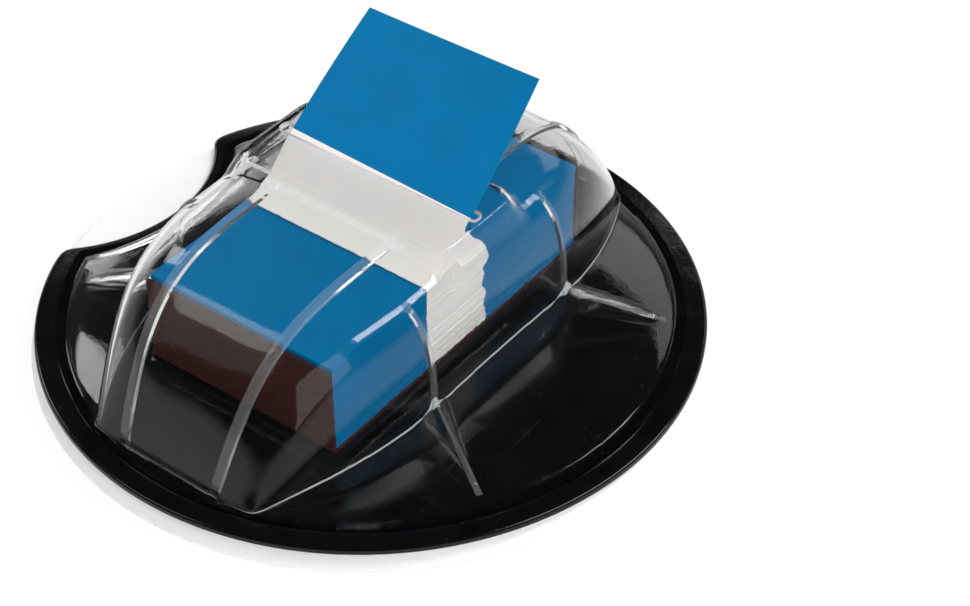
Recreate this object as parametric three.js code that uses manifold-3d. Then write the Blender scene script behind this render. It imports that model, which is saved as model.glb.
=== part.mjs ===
// A desk dispenser for sticky index tabs: a soft grip disc, a black base plate, a card cradle,
// a pad of folded flags with one pulled up, and a clear moulded cover with ribs and a slot.
// Millimetres, +Z up. The origin is the centre of the grip disc's underside, X runs across
// the flags and Y along them.

import * as THREE from 'three';
import { mergeVertices } from 'three/addons/utils/BufferGeometryUtils.js';
import Module from 'manifold-3d';

// Flags and their pad
const FLAG_WIDTH = 25.4;
const FLAG_LENGTH = 43.2;
const FLAG_SHEET = 0.2;
const PAD_HEIGHT = 11.1;

// Grip disc
const GRIP_THICKNESS = 2.2;
const GRIP_FLARE = 0.55;
const GRIP_OVERHANG = 0.95;
const GRIP_LIP = 0.5;

// Base plate
const PLATE_THICKNESS = 0.8;
const PLATE_BEVEL = 0.35;
const PLATE_RIM = 2.45;
const PLATFORM_HEIGHT = 1.3;
const PLATFORM_MARGIN = 0.9;
const NOTCH_RADIUS = 18;
const NOTCH_DEPTH = 8.45;
const NOTCH_SHIFT = -0.5;
const NOTCH_BAND = 2.6;

// Card cradle
const CARD = 0.4;
const CARD_PLAY = 0.15;
const FLAP_SHORTFALL = 0.5;

// Clear cover
const SHEET = 0.6;
const FLANGE_THICKNESS = 0.5;
const FLANGE_WIDTH = 1.2;
const SHOULDER_RISE = 3.9;
const SHOULDER_FULLNESS = 0.8;
const HEADROOM = 4.6;
const SIDE_ROOM = 5.9;
const END_ROOM = 12.8;
const RIM_ROOM = 0.2;
const END_NARROWING = 7.8;
const SIDE_STRAIGHT = 10;
const WALL_DRAFT = 0.04;

// Raised ribs and fins on the cover
const RIB_WIDTH = 1.1;
const RIB_HEIGHT = 0.45;
const RIB_SPREAD_TOP = 8.2;
const RIB_SPREAD_FOOT = 6.3;
const RIB_FOOT_MARGIN = 0.3;
const CROSS_RIB_WIDTH = 0.8;
const CROSS_RIB_PLACE = 11.8;
const CROSS_RIB_START = 0.1;
const CROSS_RIB_END = 0.42;
const FIN_WIDTH = 4.2;
const FIN_CREST = 1.7;
const FIN_FOOT_MARGIN = 1.6;
const FIN_SPLAY = 5.3;

// Slot and the boss around it
const SLOT_GAP = 1.6;
const SLOT_PLACE = 2;
const SLOT_END_PLAY = 1.2;
const BOSS_MARGIN = 1;
const BOSS_HEIGHT = 1.1;
const BOSS_FRONT = 7.4;
const BOSS_BACK = 6;
const BOSS_CORNER = 2;

// Pulled flag
const PULL_START = 5.9;
const TAB_REACH = 16.4;
const TAB_SLOPE = 40 * Math.PI / 180;
const TAB_TWIST = 1.2;
const TAB_DRIFT = 0.35;

// Mesh fineness
const DISC_SEGMENTS = 96;
const SHOULDER_STEPS = 8;
const HUMP_STATIONS = 14;
const SECTION_STEPS = 20;
const RIB_STEPS = 16;
const CROSS_RIB_STEPS = 12;
const FLAG_COLUMNS = 8;
const FLAG_CURVE_STEPS = 10;
const FLAG_TAB_STEPS = 8;

// Heights and radii that follow from the sizes above
const plateTop = GRIP_THICKNESS + PLATE_THICKNESS;
const platformTop = plateTop + PLATFORM_HEIGHT;
const padBottom = platformTop + CARD;
const padTop = padBottom + PAD_HEIGHT;
const humpTop = padTop + HEADROOM;
const humpHalfLength = FLAG_LENGTH / 2 + END_ROOM;
const humpHalfWidth = FLAG_WIDTH / 2 + SIDE_ROOM;
const shoulderRadius = humpHalfLength + RIM_ROOM;
const coverRadius = shoulderRadius + FLANGE_WIDTH;
const plateRadius = coverRadius + PLATE_RIM;
const notchX = -(plateRadius - NOTCH_DEPTH) - NOTCH_RADIUS;
const bossTop = humpTop + BOSS_HEIGHT;
const slotHalfLength = FLAG_WIDTH / 2 + SLOT_END_PLAY;
const slotHeight = bossTop - SHEET / 2;

const wasm = await Module();
wasm.setup();

// Solid from a closed three.js geometry
function toSolid(geometry) {
  const bare = geometry.clone();
  bare.deleteAttribute('normal');
  bare.deleteAttribute('uv');
  const merged = mergeVertices(bare, 1e-5);
  return new wasm.Manifold(new wasm.Mesh({
    numProp: 3,
    vertProperties: new Float32Array(merged.attributes.position.array),
    triVerts: new Uint32Array(merged.index.array),
  }));
}

function toGeometry(solid) {
  const mesh = solid.getMesh();
  const geometry = new THREE.BufferGeometry();
  geometry.setAttribute('position', new THREE.BufferAttribute(mesh.vertProperties, 3));
  geometry.setIndex(new THREE.BufferAttribute(mesh.triVerts, 1));
  geometry.computeVertexNormals();
  return geometry;
}

// Turned solid about Z from [radius, height] points
function turned(profile) {
  const points = profile.map(([radius, height]) => new THREE.Vector2(radius, height));
  return new THREE.LatheGeometry(points, DISC_SEGMENTS).rotateX(Math.PI / 2);
}

function cylinderAt(radius, x, y, low, high) {
  const cylinder = new THREE.CylinderGeometry(radius, radius, high - low, DISC_SEGMENTS);
  return cylinder.rotateX(Math.PI / 2).translate(x, y, (low + high) / 2);
}

function boxBetween(low, high) {
  const size = high.map((value, axis) => value - low[axis]);
  const middle = high.map((value, axis) => (value + low[axis]) / 2);
  return new THREE.BoxGeometry(...size).translate(...middle);
}

// Upright block with round corners in plan
function roundedBlock(x, front, back, corner, low, high) {
  const shape = new THREE.Shape();
  shape.moveTo(-x + corner, front);
  shape.lineTo(x - corner, front);
  shape.absarc(x - corner, front + corner, corner, -Math.PI / 2, 0, false);
  shape.absarc(x - corner, back - corner, corner, 0, Math.PI / 2, false);
  shape.absarc(-x + corner, back - corner, corner, Math.PI / 2, Math.PI, false);
  shape.absarc(-x + corner, front + corner, corner, Math.PI, Math.PI * 1.5, false);
  const options = { depth: high - low, bevelEnabled: false, curveSegments: 5 };
  return new THREE.ExtrudeGeometry(shape, options).translate(0, 0, low);
}

function indexed(positions, index) {
  const geometry = new THREE.BufferGeometry();
  geometry.setAttribute('position', new THREE.Float32BufferAttribute(positions, 3));
  geometry.setIndex(index);
  return geometry;
}

// Closed skin over rings with the same count of points, each counterclockwise to an eye that
// looks along the row of rings
function loft(rings) {
  const count = rings[0].length;
  const positions = rings.flat().flat();
  const index = [];
  for (let ring = 0; ring + 1 < rings.length; ring += 1) {
    for (let step = 0; step < count; step += 1) {
      const here = ring * count + step;
      const next = ring * count + (step + 1) % count;
      index.push(here, next + count, next, here, here + count, next + count);
    }
  }
  const last = (rings.length - 1) * count;
  for (let step = 1; step + 1 < count; step += 1) {
    index.push(0, step, step + 1, last, last + step + 1, last + step);
  }
  return indexed(positions, index);
}

// Closed thin sheet between two grids of points, rows by columns, the second under the first.
// Both faces split each quad along the same diagonal, so a twisted sheet keeps its thickness.
function thinSheet(over, under) {
  const rows = over.length;
  const columns = over[0].length;
  const size = rows * columns;
  const index = [];
  const quad = (a, b, c, d) => index.push(a, b, c, a, c, d);
  const wall = (a, b) => quad(a, a + size, b + size, b);
  for (let row = 0; row + 1 < rows; row += 1) {
    for (let column = 0; column + 1 < columns; column += 1) {
      const here = row * columns + column;
      const ahead = here + columns;
      quad(here, here + 1, ahead + 1, ahead);
      quad(here + size, ahead + size, ahead + 1 + size, here + 1 + size);
    }
    const left = row * columns;
    const right = left + columns - 1;
    wall(left + columns, left);
    wall(right, right + columns);
  }
  for (let column = 0; column + 1 < columns; column += 1) {
    const last = size - columns + column;
    wall(column, column + 1);
    wall(last + 1, last);
  }
  return indexed([...over, ...under].flat(2), index);
}

// Height of the cover's long hump over its middle line, at a distance along Y
function archHeight(y, inset = 0) {
  const share = Math.min(Math.abs(y) / (humpHalfLength - inset), 1);
  const rise = humpTop - inset - plateTop;
  return plateTop + rise * Math.max(1 - share ** 6, 0) ** 1.17;
}

// Half width of the hump at its foot: straight beside the pad, drawn in towards the ends
function footHalfWidth(y, inset = 0) {
  const past = Math.max(Math.abs(y) - SIDE_STRAIGHT, 0) / (humpHalfLength - SIDE_STRAIGHT);
  return humpHalfWidth - inset - END_NARROWING * past ** 2;
}

// How square the hump's section is: boxy over the pad, rounder at the ends
function squareness(y) {
  return 5.2 - 2.6 * (Math.abs(y) / humpHalfLength) ** 3;
}

// Point of the hump's section at an angle from the right foot (0) over the top to the left foot
function sectionPoint(y, angle, inset = 0) {
  const power = 2 / squareness(y);
  const across = Math.sign(Math.cos(angle)) * Math.abs(Math.cos(angle)) ** power;
  const up = Math.sin(angle) ** power;
  const draft = 1 - WALL_DRAFT * up * (archHeight(y, inset) - plateTop) / (humpTop - plateTop);
  const x = footHalfWidth(y, inset) * across * draft;
  return [x, y, plateTop + (archHeight(y, inset) - plateTop) * up];
}

// Height of the hump's surface over a point in plan, from its section
function humpHeight(x, y) {
  let low = 0;
  let high = Math.PI / 2;
  for (let round = 0; round < 40; round += 1) {
    const middle = (low + high) / 2;
    if (sectionPoint(y, middle)[0] > Math.abs(x)) low = middle;
    else high = middle;
  }
  return sectionPoint(y, high)[2];
}

function shoulderHeight(radius, inset = 0) {
  const share = Math.min(radius / (shoulderRadius - inset), 1);
  const rise = SHOULDER_RISE * (1 - share ** 2) ** SHOULDER_FULLNESS;
  return plateTop + FLANGE_THICKNESS - inset + rise;
}

// Long hump as a loft of sections, reaching below the plate's top when it is a cutter
function hump(inset, floor) {
  const rings = [];
  for (let station = -HUMP_STATIONS; station <= HUMP_STATIONS; station += 1) {
    const share = Math.sin(station / HUMP_STATIONS * Math.PI / 2);
    const y = share * (humpHalfLength - inset) * 0.9995;
    const ring = [];
    for (let step = 0; step <= SECTION_STEPS; step += 1) {
      ring.push(sectionPoint(y, step / SECTION_STEPS * Math.PI, inset));
    }
    const foot = footHalfWidth(y, inset);
    ring.push([-foot, y, floor], [foot, y, floor]);
    rings.push(ring);
  }
  return toSolid(loft(rings));
}

// Low dome of the shoulders
function shoulders(inset, floor) {
  const profile = [[0, floor], [shoulderRadius - inset, floor]];
  for (let step = 0; step <= SHOULDER_STEPS; step += 1) {
    const radius = (shoulderRadius - inset) * Math.cos(step / SHOULDER_STEPS * Math.PI / 2);
    profile.push([radius, shoulderHeight(radius, inset)]);
  }
  return toSolid(turned(profile));
}

function notchCutter(margin, low, high) {
  return toSolid(cylinderAt(NOTCH_RADIUS + margin, notchX, NOTCH_SHIFT, low, high));
}

function boss(inset) {
  const x = slotHalfLength + BOSS_MARGIN - inset;
  const front = SLOT_PLACE - BOSS_FRONT + inset;
  const back = SLOT_PLACE + BOSS_BACK - inset;
  return toSolid(roundedBlock(x, front, back, BOSS_CORNER - inset, padTop, bossTop - inset));
}

// Everything that the cover's sheet is drawn over, made smaller by the inset
function coverForm(inset, floor) {
  const low = shoulders(inset, floor)
    .subtract(notchCutter(NOTCH_BAND + inset, floor - 1, humpTop));
  return low.add(hump(inset, floor)).add(boss(inset));
}

// Raised strip along a route of points on the cover, with flat sides and a round back
function strip(route, width) {
  const rings = route.map(([x, y, z], place) => {
    const before = new THREE.Vector3(...route[Math.max(place - 1, 0)]);
    const after = new THREE.Vector3(...route[Math.min(place + 1, route.length - 1)]);
    const along = after.sub(before).normalize();
    const outward = new THREE.Vector3(x * 0.15, y * 0.35, 10);
    const side = new THREE.Vector3().crossVectors(along, outward).normalize();
    const up = new THREE.Vector3().crossVectors(side, along).normalize();
    const corners = [[-0.5, -1], [0.5, -1], [0.5, 0.4], [0.25, 1], [-0.25, 1], [-0.5, 0.4]];
    return corners.map(([sideways, rise]) => new THREE.Vector3(x, y, z)
      .addScaledVector(side, sideways * width)
      .addScaledVector(up, rise * RIB_HEIGHT)
      .toArray());
  });
  return toSolid(loft(rings));
}

// Rib that climbs from the rim over the hump's end to the boss
function longRib(sideX, sideY) {
  const route = [];
  const foot = humpHalfLength - RIB_FOOT_MARGIN;
  const head = (sideY < 0 ? BOSS_FRONT - SLOT_PLACE : BOSS_BACK + SLOT_PLACE) - SHEET;
  for (let step = 0; step <= RIB_STEPS; step += 1) {
    const y = head + (foot - head) * Math.sin(step / RIB_STEPS * Math.PI / 2);
    const spread = (y / humpHalfLength) ** 4;
    const x = RIB_SPREAD_TOP + (RIB_SPREAD_FOOT - RIB_SPREAD_TOP) * spread;
    route.push([sideX * x, sideY * y, humpHeight(x, y)]);
  }
  return strip(route, RIB_WIDTH);
}

// Rib that crosses the hump's edge and runs down its wall to the shoulder
function crossRib(sideX, sideY) {
  const route = [];
  const y = CROSS_RIB_PLACE;
  const valley = shoulderHeight(Math.hypot(humpHalfWidth, y)) - SHEET;
  for (let step = 0; step <= CROSS_RIB_STEPS; step += 1) {
    const share = CROSS_RIB_START + (CROSS_RIB_END - CROSS_RIB_START) * step / CROSS_RIB_STEPS;
    const [x, , z] = sectionPoint(y, share * Math.PI);
    if (z > valley) route.push([sideX * x, sideY * y, z]);
  }
  return wallStrip(route, sideX);
}

// Strip on the side wall, whose back faces out along X
function wallStrip(route, sideX) {
  const rings = route.map(([x, y, z], place) => {
    const [beforeX, , beforeZ] = route[Math.max(place - 1, 0)];
    const [afterX, , afterZ] = route[Math.min(place + 1, route.length - 1)];
    const along = new THREE.Vector3(afterX - beforeX, 0, afterZ - beforeZ).normalize();
    const out = new THREE.Vector3(along.z * sideX, 0, -along.x * sideX);
    const corners = [[-1, -1], [1, -1], [0.6, 1], [-0.6, 1]];
    return corners.map(([sideways, rise]) => [
      x + out.x * rise * RIB_HEIGHT * 0.7,
      y + sideX * sideways * CROSS_RIB_WIDTH / 2,
      z + out.z * rise * RIB_HEIGHT * 0.7,
    ]);
  });
  return toSolid(loft(rings));
}

// Gusset that runs down the shoulder from the wall to a point near the rim
function fin(sideX, sideY) {
  const wallX = footHalfWidth(CROSS_RIB_PLACE) - 1;
  const wallRadius = Math.hypot(humpHalfWidth, CROSS_RIB_PLACE);
  const crest = shoulderHeight(wallRadius) + FIN_CREST;
  const footY = CROSS_RIB_PLACE + FIN_SPLAY;
  const footX = Math.sqrt((shoulderRadius - FIN_FOOT_MARGIN) ** 2 - footY ** 2);
  const footZ = shoulderHeight(shoulderRadius - FIN_FOOT_MARGIN) + 0.1;
  const corners = [
    [wallX, CROSS_RIB_PLACE, crest],
    [wallX, CROSS_RIB_PLACE - FIN_WIDTH / 2, plateTop],
    [wallX, CROSS_RIB_PLACE + FIN_WIDTH / 2, plateTop],
    [footX, footY, footZ],
    [footX, footY, plateTop],
  ].map(([x, y, z]) => [sideX * x, sideY * y, z]);
  const faces = [[0, 1, 2], [0, 3, 1], [0, 2, 3], [1, 3, 4], [2, 4, 3], [1, 4, 2]];
  const flip = sideX * sideY > 0;
  const index = faces.flatMap(([a, b, c]) => (flip ? [a, c, b] : [a, b, c]));
  return toSolid(indexed(corners.flat(), index));
}

function gripDisc() {
  const bottom = plateRadius + GRIP_FLARE;
  const top = plateRadius - GRIP_OVERHANG;
  const profile = [
    [0, 0],
    [bottom - 0.1, 0],
    [bottom, GRIP_LIP * 0.4],
    [bottom, GRIP_LIP],
    [top + (bottom - top) * 0.35, GRIP_THICKNESS * 0.6],
    [top, GRIP_THICKNESS],
    [0, GRIP_THICKNESS],
  ];
  return turned(profile);
}

function basePlate() {
  const profile = [
    [0, GRIP_THICKNESS],
    [plateRadius, GRIP_THICKNESS],
    [plateRadius, plateTop - PLATE_BEVEL],
    [plateRadius - PLATE_BEVEL, plateTop],
    [0, plateTop],
  ];
  const x = FLAG_WIDTH / 2 + CARD_PLAY + PLATFORM_MARGIN;
  const y = FLAG_LENGTH / 2 + CARD_PLAY + CARD + PLATFORM_MARGIN;
  const platform = roundedBlock(x, -y, y, PLATFORM_MARGIN + 1, GRIP_THICKNESS + 0.2, platformTop);
  const plate = toSolid(turned(profile)).add(toSolid(platform));
  return toGeometry(plate.subtract(notchCutter(0, 0, humpTop)));
}

// One folded card: a floor under the pad with a flap up at each end
function padCradle() {
  const x = FLAG_WIDTH / 2 + CARD_PLAY;
  const inner = FLAG_LENGTH / 2 + CARD_PLAY;
  const outer = inner + CARD;
  const shape = new THREE.Shape();
  const flapTop = padTop - FLAP_SHORTFALL;
  shape.moveTo(-outer, platformTop);
  shape.lineTo(outer, platformTop);
  shape.lineTo(outer, flapTop);
  shape.lineTo(inner, flapTop);
  shape.lineTo(inner, padBottom);
  shape.lineTo(-inner, padBottom);
  shape.lineTo(-inner, flapTop);
  shape.lineTo(-outer, flapTop);
  shape.closePath();
  const card = new THREE.ExtrudeGeometry(shape, { depth: 2 * x, bevelEnabled: false });
  return card.rotateX(Math.PI / 2).rotateZ(Math.PI / 2).translate(-x, 0, 0);
}

function flagPad() {
  const x = FLAG_WIDTH / 2;
  const y = FLAG_LENGTH / 2;
  return boxBetween([-x, -y, padBottom], [x, y, padTop]);
}

// Thin flag that lifts off the pad, curves up through the slot and stands out as a tab
function pulledFlag() {
  const start = new THREE.Vector2(-PULL_START, padTop + FLAG_SHEET);
  const slot = new THREE.Vector2(SLOT_PLACE, slotHeight);
  const tab = new THREE.Vector2(Math.cos(TAB_SLOPE), Math.sin(TAB_SLOPE));
  const rise = new THREE.CubicBezierCurve(
    start,
    start.clone().add(new THREE.Vector2(3.4, 0)),
    slot.clone().addScaledVector(tab, -4.2),
    slot,
  );
  const stations = rise.getPoints(FLAG_CURVE_STEPS).map((point) => ({ point, out: 0 }));
  for (let step = 1; step <= FLAG_TAB_STEPS; step += 1) {
    const out = step / FLAG_TAB_STEPS;
    stations.push({ point: slot.clone().addScaledVector(tab, TAB_REACH * out), out });
  }
  const face = (lift) => stations.map(({ point, out }, place) => {
    const before = stations[Math.max(place - 1, 0)].point;
    const after = stations[Math.min(place + 1, stations.length - 1)].point;
    const along = after.clone().sub(before).normalize();
    const middle = TAB_DRIFT * (1 + out) * (place / (stations.length - 1)) ** 0.5;
    const row = [];
    for (let column = 0; column <= FLAG_COLUMNS; column += 1) {
      const side = 2 * column / FLAG_COLUMNS - 1;
      const turn = side * TAB_TWIST * out ** 1.5;
      row.push([
        middle + side * FLAG_WIDTH / 2,
        point.x - turn - along.y * lift,
        point.y + turn + along.x * lift,
      ]);
    }
    return row;
  });
  return thinSheet(face(FLAG_SHEET / 2), face(-FLAG_SHEET / 2));
}

function clearCover() {
  const flange = toSolid(cylinderAt(coverRadius, 0, 0, plateTop, plateTop + FLANGE_THICKNESS))
    .subtract(notchCutter(NOTCH_BAND - FLANGE_WIDTH, 0, humpTop));
  let outer = flange.add(coverForm(0, plateTop));
  for (const sideX of [-1, 1]) {
    for (const sideY of [-1, 1]) {
      outer = outer.add(longRib(sideX, sideY)).add(crossRib(sideX, sideY)).add(fin(sideX, sideY));
    }
  }
  const slot = toSolid(boxBetween(
    [-slotHalfLength, SLOT_PLACE - SLOT_GAP / 2, bossTop - 2 * SHEET],
    [slotHalfLength, SLOT_PLACE + SLOT_GAP / 2, bossTop + SHEET],
  ));
  return toGeometry(outer.subtract(coverForm(SHEET, plateTop - 1)).subtract(slot));
}

function finish(colour, roughness, opacity = 1) {
  const material = new THREE.MeshStandardMaterial({ color: colour, roughness, metalness: 0 });
  material.opacity = opacity;
  material.transparent = opacity < 1;
  return material;
}

function piece(name, geometry, material) {
  const mesh = new THREE.Mesh(geometry, material);
  mesh.name = name;
  return mesh;
}

const dispenser = new THREE.Group();
dispenser.add(
  piece('grip_disc', gripDisc(), finish(0xf0efea, 0.45)),
  piece('base_plate', basePlate(), finish(0x08080a, 0.3)),
  piece('pad_cradle', padCradle(), finish(0x2e1614, 0.8)),
  piece('flag_pad', flagPad(), finish(0x0076b0, 0.6)),
  piece('pulled_flag', pulledFlag(), finish(0x0076b0, 0.5)),
  piece('clear_cover', clearCover(), finish(0xdfe4e4, 0.08, 0.35)),
);

export default dispenser;
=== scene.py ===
# %% [markdown]
# # A desk dispenser for sticky index tabs
#
# The object is a palm-sized round dispenser. A soft milky disc clings to the desk, a thin black
# plate lies on it, and a clear moulded cover holds a pad of tabs, one of which stands up out of
# a slot. The solids of all the pieces come in as a frame at their real size. Each cell below
# makes one piece or one finish around that frame.
#
# Blender measures in metres, so a millimetre is a named value from the start.

# %% Load the frame and measure it
import math

import bpy
import numpy as np
from mathutils import Matrix, Vector


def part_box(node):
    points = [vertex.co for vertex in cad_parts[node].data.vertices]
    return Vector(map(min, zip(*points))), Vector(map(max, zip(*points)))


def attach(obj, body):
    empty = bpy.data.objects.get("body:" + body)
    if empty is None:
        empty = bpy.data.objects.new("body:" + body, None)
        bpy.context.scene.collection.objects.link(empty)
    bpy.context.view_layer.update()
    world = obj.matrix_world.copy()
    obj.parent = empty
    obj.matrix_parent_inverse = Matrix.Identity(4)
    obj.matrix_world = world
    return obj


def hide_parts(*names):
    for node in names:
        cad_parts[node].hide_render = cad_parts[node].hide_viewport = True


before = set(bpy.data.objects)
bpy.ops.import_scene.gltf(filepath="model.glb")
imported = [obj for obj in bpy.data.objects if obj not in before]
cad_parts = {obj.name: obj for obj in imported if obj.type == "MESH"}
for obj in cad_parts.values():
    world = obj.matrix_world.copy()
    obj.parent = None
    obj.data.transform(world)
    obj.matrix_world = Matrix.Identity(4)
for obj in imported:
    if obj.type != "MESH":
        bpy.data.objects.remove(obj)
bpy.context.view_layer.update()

MM = 0.001
grip_low, grip_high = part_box("grip_disc")
plate_low, plate_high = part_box("base_plate")
card_low, card_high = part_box("pad_cradle")
pad_low, pad_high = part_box("flag_pad")
cover_low, cover_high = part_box("clear_cover")

# %% [markdown]
# ## From points to meshes
#
# Every piece here is a mesh that is worked out from a few sizes. Most are a grid of points with
# quads between them, because a grid can follow a shape's edges and stays easy to smooth. One
# helper turns points and faces into an object, shades it smooth and keeps the edges sharper
# than a given angle. Another lets a finished piece take the place of its plain solid.

# %% Points and faces to a piece


def mesh_object(name, points, faces, materials, face_slots=None, sharp=32):
    """Object from points in metres, with smooth faces and its sharp edges marked."""
    mesh = bpy.data.meshes.new(name)
    mesh.from_pydata([tuple(map(float, point)) for point in points], [], faces)
    for material in materials:
        mesh.materials.append(material)
    if face_slots is not None:
        mesh.polygons.foreach_set("material_index", face_slots)
    mesh.polygons.foreach_set("use_smooth", [True] * len(mesh.polygons))
    mesh.set_sharp_from_angle(angle=math.radians(sharp))
    mesh.validate()
    obj = bpy.data.objects.new(name, mesh)
    bpy.context.scene.collection.objects.link(obj)
    return obj


def stand_for(obj, node):
    """The piece takes a solid's place on the root body, and the solid is hidden."""
    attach(obj, "root")
    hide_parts(node)
    print(f"{obj.name}: {len(obj.data.vertices)} points, {len(obj.data.polygons)} faces")
    return obj


print("edges are kept sharp from", mesh_object.__defaults__[-1], "degrees")

# %% [markdown]
# ## Outlines and stacked levels
#
# Thin flat parts start as an outline in plan. A corner becomes an arc that touches both of its
# sides. An outline moved inwards a little at each level gives a bevel, which is how a moulded
# edge catches the light. The same few lines serve the plate, its platform and the slot.

# %% Outlines and stacks


def rounded(corners, radius, steps=5):
    """A closed outline of plane corners, each turned into an arc of the radius."""
    outline = []
    for place, corner in enumerate(corners):
        here = np.array(corner, float)
        before = np.array(corners[place - 1], float) - here
        after = np.array(corners[(place + 1) % len(corners)], float) - here
        before /= np.linalg.norm(before)
        after /= np.linalg.norm(after)
        half = math.acos(np.clip(before @ after, -1, 1)) / 2
        reach = radius / math.tan(half)
        middle = here + (before + after) / np.linalg.norm(before + after) * radius / math.sin(half)
        start, end = here + before * reach, here + after * reach
        first = math.atan2(*(start - middle)[::-1])
        sweep = (math.atan2(*(end - middle)[::-1]) - first + math.pi) % (2 * math.pi) - math.pi
        for step in range(steps + 1):
            angle = first + sweep * step / steps
            outline.append(middle + radius * np.array([math.cos(angle), math.sin(angle)]))
    return np.array(outline)


def inward(outline, distance):
    """The outline moved inwards, for a bevel; it runs counterclockwise."""
    ahead = np.roll(outline, -1, 0) - np.roll(outline, 1, 0)
    ahead /= np.linalg.norm(ahead, axis=1)[:, None]
    return outline + np.stack([-ahead[:, 1], ahead[:, 0]], 1) * distance


def stacked(outline, levels):
    """Solid from one outline at several (inset, height) levels, with flat ends."""
    count = len(outline)
    points, faces = [], []
    for inset, height in levels:
        ring = inward(outline, inset)
        points += [(x, y, height) for x, y in ring]
    for level in range(len(levels) - 1):
        for step in range(count):
            a = level * count + step
            b = level * count + (step + 1) % count
            faces.append((a, b, b + count, a + count))
    last = (len(levels) - 1) * count
    faces.append(tuple(range(count - 1, -1, -1)))
    faces.append(tuple(range(last, last + count)))
    return points, faces


square = rounded([(1, -1), (1, 1), (-1, 1), (-1, -1)], 0.2)
print("points in a square with round corners:", len(square))

# %% [markdown]
# ## Shared surface effects
#
# Real moulded plastic and paper are never one even gloss: handling leaves faint scuffs and a
# few specks of dust. These effects are node groups, built once. Each gives only a mask or a
# height, and every material places it with its own scale and strength, so the pieces look as
# if they have lived on the same desk. The short helpers here each add one node and link it.

# %% Short helpers for nodes


def new_group(name, inputs, outputs):
    """An empty shader group with float inputs (name, default) and float outputs."""
    group = bpy.data.node_groups.new(name, "ShaderNodeTree")
    for label, value in inputs:
        socket = group.interface.new_socket(label, in_out="INPUT", socket_type="NodeSocketFloat")
        socket.default_value = value
    for label in outputs:
        group.interface.new_socket(label, in_out="OUTPUT", socket_type="NodeSocketFloat")
    return group, group.nodes.new("NodeGroupInput"), group.nodes.new("NodeGroupOutput")


def noise(tree, vector, scale, detail=2.0, stretch=(1, 1, 1)):
    """Noise over the object's own coordinates, stretched along its axes."""
    mapping = tree.nodes.new("ShaderNodeMapping")
    mapping.inputs["Scale"].default_value = stretch
    tree.links.new(vector, mapping.inputs["Vector"])
    texture = tree.nodes.new("ShaderNodeTexNoise")
    texture.inputs["Detail"].default_value = detail
    tree.links.new(mapping.outputs["Vector"], texture.inputs["Vector"])
    if isinstance(scale, (int, float)):
        texture.inputs["Scale"].default_value = scale
    else:
        tree.links.new(scale, texture.inputs["Scale"])
    return texture.outputs["Fac"]


def ramp(tree, value, low, high, floor=0.0, ceiling=1.0):
    """A value spread from low..high to floor..ceiling, and held inside them."""
    spread = tree.nodes.new("ShaderNodeMapRange")
    spread.inputs["From Min"].default_value = low
    spread.inputs["From Max"].default_value = high
    spread.inputs["To Min"].default_value = floor
    spread.inputs["To Max"].default_value = ceiling
    tree.links.new(value, spread.inputs["Value"])
    return spread.outputs["Result"]


def arithmetic(tree, operation, first, second):
    node = tree.nodes.new("ShaderNodeMath")
    node.operation = operation
    for socket, value in zip(node.inputs, (first, second)):
        if isinstance(value, (int, float)):
            socket.default_value = value
        else:
            tree.links.new(value, socket)
    return node.outputs[0]


def object_coordinates(tree):
    return tree.nodes.new("ShaderNodeTexCoord").outputs["Object"]


print("a new noise has its detail at", noise.__defaults__[0])

# %% [markdown]
# ## Scuffs
#
# Rubbing leaves fine straight lines, in patches where the object is handled. Noise that is
# stretched a long way in one direction gives such lines, and two directions crossing look
# like real wear. A slow noise keeps them to patches.

# %% Fine scuffs


def scuff_group():
    """Fine straight rubs in two directions, in broad patches."""
    group, into, out = new_group("fine_scuffs", [("Scale", 900.0), ("Strength", 1.0)], ["Mask"])
    place = object_coordinates(group)
    along = noise(group, place, into.outputs["Scale"], 3.0, (1, 0.06, 1))
    across = noise(group, place, into.outputs["Scale"], 3.0, (0.05, 0.9, 1))
    patches = ramp(group, noise(group, place, 60.0), 0.45, 0.7)
    rubs = arithmetic(
        group, "MAXIMUM", ramp(group, along, 0.62, 0.72), ramp(group, across, 0.64, 0.74))
    patchy = arithmetic(group, "MULTIPLY", rubs, patches)
    mask = arithmetic(group, "MULTIPLY", patchy, into.outputs["Strength"])
    group.links.new(mask, out.inputs["Mask"])
    return group


SCUFFS = scuff_group()
print(SCUFFS.name, "has", len(SCUFFS.nodes), "nodes")

# %% [markdown]
# ## Dust
#
# Dust lies as separate small specks, few and uneven. The cells of a Voronoi texture give the
# round specks, and a noise drops most of them.

# %% Dust specks


def dust_group():
    """Scattered small specks."""
    group, into, out = new_group("dust_specks", [("Scale", 1400.0), ("Strength", 1.0)], ["Mask"])
    cells = group.nodes.new("ShaderNodeTexVoronoi")
    group.links.new(object_coordinates(group), cells.inputs["Vector"])
    group.links.new(into.outputs["Scale"], cells.inputs["Scale"])
    cells.inputs["Randomness"].default_value = 1.0
    specks = ramp(group, cells.outputs["Distance"], 0.16, 0.08)
    few = ramp(group, noise(group, object_coordinates(group), 700.0), 0.6, 0.66)
    both = arithmetic(group, "MULTIPLY", specks, few)
    mask = arithmetic(group, "MULTIPLY", both, into.outputs["Strength"])
    group.links.new(mask, out.inputs["Mask"])
    return group


DUST = dust_group()
print(DUST.name, "has", len(DUST.nodes), "nodes")

# %% [markdown]
# ## Unevenness
#
# No moulded sheet is truly flat. A slow noise with a little fine noise on top, fed to a bump,
# makes reflections swim a little, which the eye reads as plastic rather than as glass.

# %% Soft unevenness


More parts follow.
